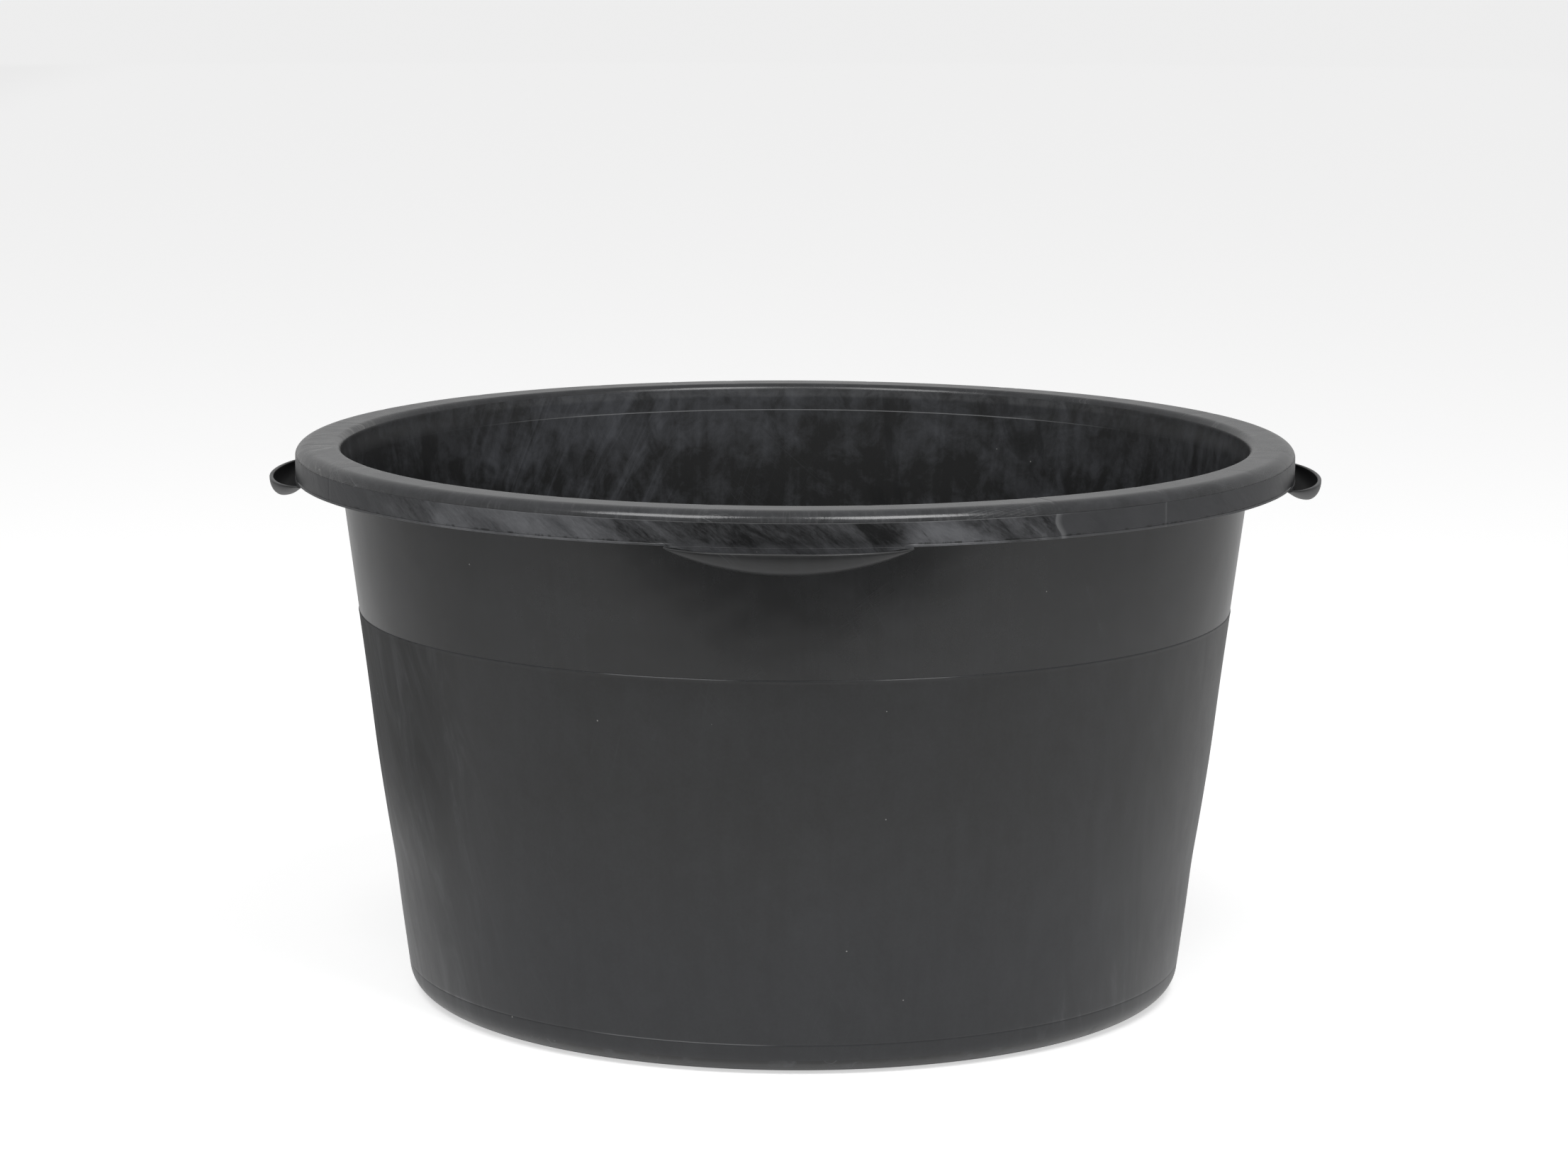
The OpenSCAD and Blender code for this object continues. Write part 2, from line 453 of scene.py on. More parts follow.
    def blend(self, factor, a, b):
        node = self.add("ShaderNodeMix", data_type="RGBA")
        for number, value in zip(MIX_INPUTS, (factor, a, b)):
            self.feed(node.inputs[number], value)
        return node.outputs[MIX_OUTPUT]

    def over(self, colour, mask, strength, tint):
        """A tint laid over a colour where a mask is, no stronger than strength."""
        return self.blend(self.math("MULTIPLY", mask, strength), colour, tint)

    def bump(self, height, distance, normal=None):
        node = self.add("ShaderNodeBump")
        if normal is not None:
            self.feed(node.inputs["Normal"], normal)
        return self.fed(node, Height=height, Distance=distance, Strength=1.0)

    def specks(self, scale, size, share):
        """Tiny round specks in a share of the cells of a scale."""
        distance = self.cells(self.place, scale, "Distance")
        near = self.span(distance, size, size * SPECK_EDGE, 1.0, 0.0)
        drawn = self.add("ShaderNodeSeparateColor")
        self.feed(drawn.inputs[0], self.cells(self.place, scale, "Color"))
        return self.math("MULTIPLY", near, self.math("LESS_THAN", drawn.outputs[0], share))

    def scratches(self, where, scale, share):
        """Hairline marks in patches, along the direction in which the coordinates change slowly."""
        lines = self.noise(where, scale, 1.0, 0.4, 0.15)
        here = self.span(self.noise(self.place, SCRATCH_PATCHES), 0.52, 0.7)
        return self.math("MULTIPLY", self.line(lines, NOISE_MIDDLE, 0.0, share), here)

    def crossed(self, one, other, scale, share):
        """Hairline marks in two directions."""
        marks = [self.scratches(where, scale, share) for where in (one, other)]
        return self.math("ADD", *marks, clamp=True)

    def finish(self, colour, roughness, normal):
        self.feed(self.shader.inputs["Base Color"], colour)
        self.feed(self.shader.inputs["Roughness"], roughness)
        self.feed(self.shader.inputs["Normal"], normal)
        self.shader.inputs["IOR"].default_value = PLASTIC_IOR
        return self.material


PLASTIC_IOR = 1.49
UPPER_ROUGH = 0.16
LOWER_ROUGH = 0.36
FLOW_SCALE, FLOW_DEPTH = 14.0, 0.6 * MM
GRAIN_SCALE = 2200.0
BLACK = (0.0112, 0.0115, 0.0118, 1)
SLATE = (0.0128, 0.0136, 0.0155, 1)
DEEP = (0.0062, 0.0065, 0.0070, 1)
# Near-black for the painted shade in the ears' bowls
BOWL_SHADE_BLACK = (0.0030, 0.0031, 0.0033, 1)
HAZE = (0.034, 0.036, 0.040, 1)
SMOKE = (0.062, 0.065, 0.073, 1)
BLOOM = (0.084, 0.086, 0.092, 1)
# Pale grey for scratches and wear, and also for painted highlights and glints on edges
CHALK_AND_HIGHLIGHT = (0.13, 0.132, 0.135, 1)
DUST = (0.2, 0.2, 0.195, 1)


def skin(f, peel=160.0, peel_depth=0.03, grain_depth=0.006):
    """The moulded skin's bump: broad flow, orange peel and fine grain, depths in millimetres."""
    broad = f.bump(f.noise(f.place, FLOW_SCALE, 2.0), FLOW_DEPTH)
    peeled = f.bump(f.noise(f.place, peel, 3.0, 0.55), peel_depth * MM, normal=broad)
    grain = f.noise(f.place, GRAIN_SCALE, 2.0, 0.6)
    return f.bump(grain, grain_depth * MM, normal=peeled)


def upper_finish():
    """The wall's outside above the step: satin, nearly even, with faint runs down it."""
    f = Finish("outside_satin")
    cloud = f.swing(f.place, 8.0, 5.0, 0.6, 0.6)
    runs = f.swing(f.ring(0.3, 0.05), 70.0, 4.0, 0.6, 0.3)
    fine = f.swing(f.ring(0.0, 0.03), 260.0, 3.0, 0.6)
    mottle = f.swing(f.place, 60.0, 5.0, 0.66, 0.5)
    haze = f.total((cloud, 0.12), (runs, 0.05), (fine, 0.04), (mottle, 0.07), base=0.08,
                   clamp=True)
    colour = f.blend(haze, BLACK, HAZE)
    marks = f.crossed(f.ring(2.2, 0.05), f.ring(-5.0, 0.06), 110.0, 0.012)
    colour = f.over(colour, marks, 0.14, HAZE)
    colour = f.blend(f.specks(90.0, 0.03, 0.05), colour, DUST)
    rough = f.total((cloud, 0.02), (runs, 0.006), base=UPPER_ROUGH)
    smooth = skin(f, peel_depth=0.003, grain_depth=0.001)
    return f.finish(colour, rough, f.bump(marks, 0.003 * MM, normal=smooth))


def lower_finish():
    """The wall's outside below the step: duller and bluer, rubbed in patches at the left, with
    painted highlights along the step's and the groove's edges in stretches, the groove's edge also
    worn pale at the sides, and painted light on the step's ledge."""
    f = Finish("outside_dull")
    cloud = f.swing(f.place, 6.0, 5.0, 0.62, 0.8)
    rub = f.swing(f.ring(0.8, 0.35), 34.0, 5.0, 0.66, 1.4)
    runs = f.swing(f.ring(-0.2, 0.04), 90.0, 4.0, 0.62, 0.3)
    fine = f.swing(f.place, 420.0, 2.0, 0.7)
    low = f.heights(50, 200, 1.0, 0.0)
    dulled = f.product(f.sector(-100, -50, 10), f.heights(100, 200))
    worn = f.math("ADD", f.sector(-95, -50, 9), f.math("MULTIPLY", f.sector(40, 95, 9), 0.4))
    patchy = f.math("MULTIPLY", rub, f.total((worn, 0.30), (low, 0.05), base=0.05))
    mottle = f.swing(f.place, 60.0, 5.0, 0.66, 0.5)
    haze = f.total((cloud, 0.12), (patchy, 0.9), (runs, 0.05), (fine, 0.08), (mottle, 0.09),
                   base=0.1, clamp=True)
    colour = f.blend(haze, f.blend(low, BLACK, SLATE), HAZE)
    scuffed = f.product(f.span(rub, 0.0, 1.1), f.sector(-95, -46, 8), f.heights(60, 200, 0.5, 1.0))
    foot = f.product(f.span(rub, 0.1, 1.0), f.sector(36, 92, 8), f.heights(30, 70, 1.0, 0.0))
    colour = f.blend(f.total((scuffed, 0.2), (foot, 0.24), clamp=True), colour, BLOOM)
    # Painted light: the step's ledge is painted paler, against the dark reflection it mirrors of
    # the upper wall
    ledge = f.level(STEP_Z, 0.4, 0.3)
    colour = f.over(colour, ledge, 0.55, HAZE)
    # Painted highlights: glints along the step's edge in two stretches at the front and along the
    # groove at the front; the edge above the groove is also worn pale at the sides
    here = f.math("ADD", f.sector(-23, -7, 1.5), f.sector(11, 20, 1.5))
    glint = f.product(f.level(STEP_Z - 0.15, 0.1, 0.2), here, 0.8)
    seam_glint = f.product(f.level(GROOVE_Z, 0.15, 0.25), f.sector(-28, -3, 3))
    edge = f.product(f.level(GROOVE_Z + 0.8, 0.3, 0.8), f.span(rub, -0.1, 0.5), 0.5)
    bright = f.total((glint, 1.0), (seam_glint, 0.8), (f.product(edge, worn), 0.5), clamp=True)
    colour = f.blend(bright, colour, CHALK_AND_HIGHLIGHT)
    dots = f.product(f.level(STEP_Z, 0.4, 0.6), f.span(f.noise(f.place, 160.0), 0.6, 0.64),
                     f.sector(-80, -52, 4))
    colour = f.blend(dots, colour, DEEP)
    marks = f.crossed(f.ring(3.0, 0.05), f.ring(-1.2, 0.05), 100.0, 0.012)
    colour = f.over(colour, marks, 0.14, HAZE)
    colour = f.blend(f.specks(80.0, 0.03, 0.05), colour, DUST)
    rough = f.total((cloud, 0.03), (patchy, -0.1), (fine, 0.01), (mottle, 0.02), (dulled, 0.26),
                    base=LOWER_ROUGH)
    return f.finish(colour, rough, f.bump(marks, 0.004 * MM, normal=skin(f)))


def smoke_colour(f, wisps, runs):
    """The marbling of recycled plastic: smoke with dark holes, wisps and runs laid over it, lighter
    high up as a painted reflection, and darker away from the back and at the left.
    """
    smoke = f.swing(f.place, 17.0, 7.0, 0.68, 0.7)
    small = f.swing(f.place, 60.0, 6.0, 0.7, 0.5)
    # Painted reflection: the inside is lighter high up, where the wall mirrors the bright air over
    # the front
    high = f.heights(318, 354)
    aside = f.span(f.y, 0.0, 0.2, 1.0, 0.0)
    pale = f.product(f.sector(-168, -144, 5), f.heights(330, 360))
    dim = f.sector(-141, -60, 5)
    level = f.total((high, 0.24), (pale, 0.18), (dim, -0.10), (aside, -0.14), (smoke, 0.42),
                    (small, 0.34), (wisps, 0.36), (runs, 0.18), base=0.06, clamp=True)
    colour = f.blend(level, BLACK, SMOKE)
    holes = f.span(f.noise(f.ring(-0.6, 0.5), 24.0, 5.0, 0.62, 1.2), 0.30, 0.44, 1.0, 0.0)
    return f.over(colour, holes, 0.7, DEEP), level, small


def inside_finish():
    """The inside: smoky marbling, leaning wisps at the left of the back and runs down the wall,
    with painted highlights along the inner line and the rear crest.
    """
    f = Finish("inside_marbled")
    leaning = f.swing(f.ring(2.2, 0.12), 70.0, 6.0, 0.66, 0.9)
    far_left = f.span(f.azimuth, -158, -150, 1.0, 0.0)
    back_left = f.total((f.sector(-160, -130, 5), 1.3), (far_left, 0.3))
    wisps = f.product(f.span(leaning, -0.4, 0.8), back_left)
    runs = f.swing(f.ring(0.1, 0.05), 95.0, 4.0, 0.62, 0.5)
    colour, level, small = smoke_colour(f, wisps, runs)
    back = f.span(f.y, 0.16, 0.26)
    # Painted highlights: a bright line along the inner line at the back, and a band along the rear
    # crest
    edge = f.product(f.level(LINE_Z + 0.3, 0.2, 0.2), f.span(f.y, 0.20, 0.28, 0.06, 1.0))
    neck = f.product(f.heights(LINE_Z + 0.5, LINE_Z + 1), f.span(f.y, 0.1, 0.25, 1.0, 0.2))
    crest = f.product(f.level(TOTAL_H - 7, 1.0, 3.0), back, f.span(small, -0.6, 0.5, 0.3, 1.0))
    colour = f.over(colour, neck, 0.12, HAZE)
    colour = f.blend(f.total((edge, 0.9), (crest, 0.3), clamp=True), colour, CHALK_AND_HIGHLIGHT)
    marks = f.crossed(f.ring(1.4, 0.05), f.ring(-4.0, 0.06), 95.0, 0.012)
    colour = f.over(colour, marks, 0.16, SMOKE)
    colour = f.blend(f.specks(80.0, 0.03, 0.06), colour, DUST)
    rough = f.total((level, 0.12), (runs, 0.03), base=0.34)
    f.shader.inputs["Specular IOR Level"].default_value = 0.38
    return f.finish(colour, rough, f.bump(marks, 0.01 * MM, normal=skin(f, peel=120.0)))


def floor_finish():
    """The floor's inside: the same smoke, rubbed and dusty."""
    f = Finish("inside_floor")
    swirl = f.swing(f.place, 26.0, 5.0, 0.62, 2.2)
    colour, level, _ = smoke_colour(f, swirl, f.swing(f.place, 90.0, 4.0, 0.62, 0.6))
    along = f.vector("MULTIPLY", f.place, (1, 0.05, 1))
    across = f.vector("MULTIPLY", f.place, (0.06, 1, 1))
    marks = f.crossed(along, across, 80.0, 0.014)
    colour = f.over(colour, marks, 0.5, BLOOM)
    colour = f.blend(f.specks(70.0, 0.04, 0.12), colour, DUST)
    rough = f.total((level, 0.14), (swirl, 0.03), base=0.36)
    return f.finish(colour, rough, f.bump(marks, 0.02 * MM, normal=skin(f, peel=120.0)))


def rim_finish():
    """The rim's top and shoulder: rubbed, hazy and brushed across, worn at both ends, with the
    brush marks on the front shoulder painted pale, partly as a painted highlight.
    """
    f = Finish("rim_rubbed")
    cloud = f.swing(f.place, 24.0, 5.0, 0.64, 1.2)
    small = f.swing(f.place, 110.0, 4.0, 0.66, 0.8)
    brush = f.swing(f.ring(0.0, 0.12), 330.0, 3.0, 0.7, 0.3)
    scuff = f.swing(f.ring(2.6, 0.5), 60.0, 5.0, 0.68, 1.6)
    shoulder_zone = f.span(f.radius, (RIM_R - SHOULDER_W) * MM, (RIM_R - 6) * MM)
    front = f.product(shoulder_zone, f.sector(-42, CREASE_AT, 4))
    low = f.heights(SHOULDER_Z - 1, SHOULDER_Z + 6, -0.2, 0.0)
    haze = f.total((cloud, 0.12), (small, 0.07), (low, 1.0), base=0.34, clamp=True)
    colour = f.blend(haze, BLACK, BLOOM)
    # Brush marks on the front shoulder, painted pale: partly real marks, partly the shoulder
    # highlight's painted sparkle
    colour = f.blend(f.product(front, f.span(brush, 0.0, 1.0), 0.16), colour, CHALK_AND_HIGHLIGHT)
    left_end = f.product(f.sector(-106, -62, 9), f.span(scuff, -0.1, 0.9))
    right_end = f.product(f.sector(66, 112, 7), f.span(scuff, 0.3, 0.9))
    colour = f.over(colour, left_end, 0.65, DUST)
    colour = f.over(colour, right_end, 0.5, CHALK_AND_HIGHLIGHT)
    marks = f.crossed(f.ring(6.0, 0.08), f.ring(-9.0, 0.1), 135.0, 0.013)
    colour = f.over(colour, marks, 0.5, CHALK_AND_HIGHLIGHT)
    colour = f.blend(f.specks(110.0, 0.04, 0.06), colour, DUST)
    gloss = f.product(shoulder_zone, f.sector(-44, 46, 6))
    rough = f.total((cloud, 0.03), (small, 0.02), (gloss, -0.07), base=0.26)
    brushed = f.bump(f.math("MULTIPLY", brush, front), 0.018 * MM, normal=skin(f, peel=220.0))
    return f.finish(colour, rough, f.bump(marks, 0.02 * MM, normal=brushed))


def skirt_finish():
    """The skirt: flow streaks that lean the way the plastic ran, pale beside the front ear, dark
    over it, and calm beyond the crease at the right, with painted highlights along the bead, the
    parting line and the creases, painted shade along the notch, and painted light over the front
    ear."""
    f = Finish("skirt_streaked")
    streak = f.swing(f.ring(3.2, 0.6), 34.0, 7.0, 0.64, 1.9)
    fine = f.swing(f.ring(3.6, 0.5), 170.0, 5.0, 0.72, 1.4)
    patch = f.swing(f.ring(2.4, 1.0), 17.0, 4.0, 0.6, 1.4)
    grain = f.swing(f.ring(3.0, 0.8), 520.0, 4.0, 0.75, 0.5)
    grime = f.noise(f.ring(3.2, 0.3), 120.0, 5.0, 0.7, 1.5)
    slanted = f.total((f.z, 350.0), (f.azimuth, 1.0), base=-350 * (SKIRT_Z + 8) * MM)
    pale_right = f.product(f.sector(12.5, 26, 1), f.span(slanted, 18.5, 21.5, 1.0, 0.0))
    pale = f.math("ADD", f.sector(-42, -19.5, 2), pale_right)
    over_ear = f.sector(-14.5, 13, 1.5)
    calm_right = f.span(f.azimuth, CREASE_AT - 0.5, CREASE_AT + 0.5)
    calm = f.math("ADD", calm_right, f.span(f.azimuth, -56, -44, 1.0, 0.0))
    lively = f.math("SUBTRACT", 1.0, f.math("MULTIPLY", calm, 0.86))
    near_ear = f.sector(-24, CREASE_AT, 4)
    streaks = f.math("MULTIPLY", streak, f.total((near_ear, 0.18), base=0.14))
    mix = f.total((streaks, 1.0), (fine, 0.17), (grain, 0.16), (patch, 0.28))
    # Painted light: the skirt's foot over the front ear is lifted paler, against the dark
    # reflection of the ear's bowl
    painted_fill_over_ear = f.product(f.heights(SKIRT_Z - 1, SKIRT_Z + 4, 1.0, 0.0), over_ear)
    level = f.total((f.math("MULTIPLY", mix, lively), 1.0), (pale, 0.40), (over_ear, -0.12),
                    (painted_fill_over_ear, 0.35), base=0.32, clamp=True)
    colour = f.blend(level, DEEP, BLOOM)
    grimy = f.product(f.span(grime, 0.60, 0.70), lively, f.total((near_ear, 0.5), base=0.2))
    colour = f.blend(grimy, colour, DEEP)
    ragged = f.span(f.noise(f.ring(0.0, 0.2), 140.0, 3.0, 0.7), 0.5, 0.6)
    off_ear = f.math("SUBTRACT", 1.0, over_ear)
    # Painted shade along the notch above the bead, broken into ragged stretches, and a painted
    # highlight along the bead
    notch_shade = f.product(f.level(SKIRT_Z + 2.0, 0.3, 0.7), ragged, off_ear)
    bead_highlight = f.product(f.level(SKIRT_Z + 0.9, 0.4, 0.4), off_ear, 0.15)
    colour = f.blend(bead_highlight, f.over(colour, notch_shade, 0.8, DEEP), CHALK_AND_HIGHLIGHT)
    # Painted highlights: along the parting line at the front, on the lip beside the crease at the
    # right, and on the faint crease
    seam_glint = f.product(f.level(SHOULDER_Z + 0.2, 0.2, 0.3), f.sector(-40, CREASE_AT, 6), 0.6)
    up = f.heights(SKIRT_Z + 1, SHOULDER_Z + 4, -1.0, 1.0)
    bow = f.total((f.math("MULTIPLY", up, up), 0.5), (up, -0.25), base=CREASE_AT - 0.3)
    off = f.math("SUBTRACT", f.azimuth, bow)
    crease_lip_highlight = f.product(f.span(off, -0.12, 0.05), f.span(off, 0.1, 0.9, 1.0, 0.0))
    faint = f.line(f.azimuth, FAINT_CREASE_AT, 0.05, 0.15)
    bright = f.total((seam_glint, 1.0), (crease_lip_highlight, 0.55), (faint, 0.25), clamp=True)
    colour = f.blend(bright, colour, CHALK_AND_HIGHLIGHT)
    marks = f.scratches(f.ring(5.0, 0.08), 160.0, 0.014)
    colour = f.over(colour, marks, 0.5, HAZE)
    colour = f.blend(f.specks(100.0, 0.035, 0.05), colour, DUST)
    rough = f.total((streak, 0.06), (patch, 0.04), base=0.34)
    flow = f.bump(streak, 0.06 * MM, normal=skin(f, peel=200.0, peel_depth=0.04))
    return f.finish(colour, rough, f.bump(marks, 0.02 * MM, normal=flow))


def ear_finish():
    """The ears: satin and even, pale along the edge in patches, partly wear and partly a painted
    highlight.
    """
    f = Finish("ear_satin")
    cloud = f.swing(f.place, 30.0, 4.0, 0.62, 0.8)
    fine = f.swing(f.ring(0.5, 0.3), 210.0, 4.0, 0.66)
    colour = f.blend(f.total((cloud, 0.10), (fine, 0.06), base=0.06, clamp=True), BLACK, HAZE)
    # The edge is painted pale in patches: partly wear, partly the edge's painted highlight
    worn = f.span(f.noise(f.place, 40.0, 4.0, 0.7), 0.3, 0.6)
    edge = f.product(f.level(EAR_Z + 0.1, 0.2, 0.4), worn)
    colour = f.over(colour, edge, 0.4, CHALK_AND_HIGHLIGHT)
    marks = f.scratches(f.ring(4.0, 0.08), 180.0, 0.014)
    colour = f.over(colour, marks, 0.2, CHALK_AND_HIGHLIGHT)
    rough = f.total((cloud, 0.03), (fine, 0.02), base=0.37)
    return f.finish(colour, rough, f.bump(marks, 0.02 * MM, normal=skin(f, peel=240.0)))


def bowl_finish():
    """An ear's bowl: a darker, duller copy of the plastic, painted shade for the light its own
    walls keep out.
    """
    f = Finish("ear_bowl")
    cloud = f.swing(f.place, 60.0, 4.0, 0.62, 0.8)
    colour = f.blend(f.total((cloud, 0.2), base=0.2, clamp=True), BOWL_SHADE_BLACK, DEEP)
    f.shader.inputs["Specular IOR Level"].default_value = 0.2
    return f.finish(colour, f.total((cloud, 0.03), base=0.55), skin(f, peel=240.0))


def under_finish():
    """The hidden side of the rim and the underside: duller, with drag marks and dust."""
    f = Finish("underside_dull")
    cloud = f.swing(f.place, 18.0, 5.0, 0.62, 0.8)
    drag = f.swing(f.vector("MULTIPLY", f.place, (0.25, 1, 1)), 120.0, 3.0, 0.6)
    foot = f.product(f.level(0.0, 0.6, 1.2), f.span(drag, -0.3, 0.6))
    colour = f.blend(f.total((cloud, 0.16), (drag, 0.08), base=0.22, clamp=True), BLACK, HAZE)
    colour = f.over(colour, foot, 0.7, CHALK_AND_HIGHLIGHT)
    colour = f.blend(f.specks(70.0, 0.04, 0.1), colour, DUST)
    rough = f.total((cloud, 0.05), (drag, 0.03), base=0.5)
    dragged = f.bump(f.math("MULTIPLY", drag, foot), 0.03 * MM, normal=skin(f))
    return f.finish(colour, rough, dragged)


LOWER = lower_finish()
UPPER = upper_finish()
INSIDE = inside_finish()
FLOOR = floor_finish()
RIM = rim_finish()
SKIRT = skirt_finish()
EAR = ear_finish()
BOWL = bowl_finish()
UNDER = under_finish()


# ---------- pieces

def keep(piece, node):
    """Puts a piece on the tub's body, in place of its CAD node."""
    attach(piece, "root")
    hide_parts(node)


def shoulder(shrink, a0, a1, steps):
    """An arc of the rim's rounded outer shoulder, on its outside or, shrunk, on its inside."""
    centre = (RIM_R - SHOULDER_W, SHOULDER_Z)
    return arc(centre, SHOULDER_W - shrink, SHOULDER_H - shrink, a0, a1, steps)


def floor_plate():
    """The floor, with the gate mark under its centre: a raised disc in a shallow round dent."""
    dish = 0.35
    disc_z, dent_z = FLOOR_UNDER + 0.6, FLOOR_UNDER + 1.2
    disc_r, soft = GATE_R - 3.0, 0.4
    top = straight((FLOOR_R, FLOOR_TOP), (0, FLOOR_TOP), 44)
    top[:, 1] -= dish * np.sin(np.pi * top[:, 0] / FLOOR_R) ** 2
    outline = chain(
        top,
        straight((0, disc_z), (disc_r - soft, disc_z), 3),
        arc((disc_r - soft, disc_z + soft), soft, soft, 270, 360, 3),
        (disc_r, dent_z),
        (GATE_R - soft, dent_z),
        arc((GATE_R + soft, FLOOR_UNDER + soft), soft, soft, 180, 270, 3),
        straight((GATE_R + 1, FLOOR_UNDER), (FLOOR_R, FLOOR_UNDER), 24),
    )

    def finish_at(r, z):
        return int(z < FLOOR_TOP - 1.5)

    keep(revolve("tub_floor", outline, [FLOOR, UNDER], finish_at), "floor_plate")


def base_band():
    """The rounded bottom corner, from the foot ring up to the middle of the groove."""
    corner = (low_out(CORNER_R) - CORNER_R / math.cos(LOW_LEAN), CORNER_R)
    inside_r = 12.0
    inside_z = FLOOR_TOP + inside_r
    inside = (wall_in(inside_z) - inside_r / math.cos(LEAN), inside_z)
    foot_in = corner[0] - FOOT_W
    lean, low_lean = math.degrees(LEAN), math.degrees(LOW_LEAN)
    ease, soft = 0.25, 0.4
    outline = chain(
        straight((FLOOR_R, FLOOR_TOP), (FLOOR_R, FLOOR_UNDER), 1),
        (foot_in - FLOOR_UNDER - 0.5, FLOOR_UNDER),
        (foot_in - FLOOR_UNDER + 0.2, FLOOR_UNDER - ease),
        (foot_in - soft, ease),
        (foot_in + soft, 0),
        arc(corner, CORNER_R, CORNER_R, 270, 360 - low_lean, 22),
        (low_out(GROOVE_Z - 1.2), GROOVE_Z - 1.2),
        (low_out(GROOVE_Z - 0.6) - GROOVE_D * 0.3, GROOVE_Z - 0.6),
        (GROOVE_R - GROOVE_D, GROOVE_Z),
        (wall_in(GROOVE_Z), GROOVE_Z),
        arc(inside, inside_r, inside_r, 360 - lean, 270, 18),
        straight((inside[0], FLOOR_TOP), (FLOOR_R, FLOOR_TOP), 4),
    )

    def finish_at(r, z):
        if z < 3 or r < FLOOR_R + 1:
            return 2 if z < FLOOR_TOP - 0.5 else 1
        return int(r < wall_in(z) + 1.5)

    keep(revolve("tub_base_band", outline, [LOWER, FLOOR, UNDER], finish_at), "base_band")


# Stretches of burr along the step, as (middle, half of the length), in degrees
BURRS = ((-15.5, 9), (15.5, 5), (96, 6), (150, 10), (214, 7), (262, 5))
BURR_OUT, BURR_UP = 0.2, 0.1


def flash(a):
    """Where the step's edge has a burr: two stretches at the front, others behind."""
    total = np.zeros_like(np.asarray(a, float))
    for middle, half in BURRS:
        total = total + np.clip(1 - (np.abs(apart(a, middle)) / half) ** 4, 0, 1)
    return np.clip(total, 0, 1) * (0.75 + 0.25 * waves(21, 5, 30, 90, a, 0))


def lower_wall():
    """The wall from the groove up to the step, whose edge has a burr in places."""
    edge = 0.32
    outline = chain(
        (GROOVE_R - GROOVE_D, GROOVE_Z),
        (low_out(GROOVE_Z + 0.5) - GROOVE_D * 0.25, GROOVE_Z + 0.5),
        (low_out(GROOVE_Z + 1.2), GROOVE_Z + 1.2),
        straight((low_out(GROOVE_Z + 4), GROOVE_Z + 4), (low_out(STEP_Z - 3), STEP_Z - 3), 40),
        (low_out(STEP_Z - 1.2), STEP_Z - 1.2),
        arc((PROUD_R - edge, STEP_Z - 2 * edge), edge, 2 * edge, 0, 90, 6),
        straight((wall_out(STEP_Z), STEP_Z), (wall_in(STEP_Z), STEP_Z), 2),
        straight((wall_in(STEP_Z - 2), STEP_Z - 2), (wall_in(GROOVE_Z), GROOVE_Z), 26),
    )

    def burr(r, z, a):
        """The burr stands out and up at the step's edge."""
        at_edge = (r > wall_out(STEP_Z) + 0.05) & (z > STEP_Z - 0.5)
        lift = at_edge * flash(a)
        return r + BURR_OUT * lift, z + BURR_UP * lift

    def finish_at(r, z):
        return int(r < wall_in(z) + 1.0)

    piece = revolve("tub_lower_wall", outline, [LOWER, INSIDE], finish_at, burr)
    keep(piece, "lower_wall")


# Heights above the inner line at which the upper wall's inside has a point, in millimetres
LEDGE_CUTS = (4.5, 3.4, 2.5, 1.8, 1.2, 0.8, 0.5, 0.3, 0.15)
# The inner line's ledge is crisp within this angle of the back, then softens over the fade
LEDGE_HALF, LEDGE_FADE = 30, 14


def upper_wall():
    """The wall from the step up to the rim, with a fine line inside near its top."""
    outline = chain(
        straight((wall_in(STEP_Z), STEP_Z), (wall_out(STEP_Z), STEP_Z), 2),
        straight((wall_out(STEP_Z + 1), STEP_Z + 1), (wall_out(NECK_Z), NECK_Z), 18),
        (neck_in(NECK_Z), NECK_Z),
        straight((neck_in(NECK_Z - 1), NECK_Z - 1), (neck_in(LINE_Z + 6), LINE_Z + 6), 3),
        [(neck_in(LINE_Z + lift), LINE_Z + lift) for lift in LEDGE_CUTS],
        (wall_in(LINE_Z), LINE_Z),
        straight((wall_in(LINE_Z - 1), LINE_Z - 1), (wall_in(STEP_Z + 1), STEP_Z + 1), 16),
    )

    def ledge(r, z, a):
        """The inner line is a crisp ledge at the back and a soft slope elsewhere."""
        off = np.abs(apart(a, 180))
        crisp = np.clip((LEDGE_HALF + LEDGE_FADE - off) / LEDGE_FADE, 0, 1)
        soft = NECK_Z - LINE_Z - 1.0
        height = soft - (soft - 0.5) * crisp
        rise = np.clip((z - LINE_Z) / height, 0, 1)
        inside = (r < wall_in(z) + 1.5) & (z > LINE_Z - 0.01) & (z < NECK_Z - 0.5)
        smooth = rise * rise * (3 - 2 * rise)
        return np.where(inside, wall_in(z) + LINE_T * smooth, r), z

    def finish_at(r, z):
        return int(r < wall_in(z) + 1.5)

    piece = revolve("tub_upper_wall", outline, [UPPER, INSIDE], finish_at, ledge)
    keep(piece, "upper_wall")


def weld_grooves(a):
    """The depth, in millimetres, of the creases where the plastic's streams met."""
    total = np.zeros_like(np.asarray(a, float))
    for weld, depth in WELDS:
        total = total + depth * bell(apart(a, weld), 0, WELD_HALF)
    return total


def sinks(a):
    """The depth of the hollows that shrinking leaves over the ribs."""
    step = 360 / RIB_COUNT
    return SINK_DEPTH * bell(apart(a, (np.floor(a / step) + 0.5) * step), 0, SINK_HALF)


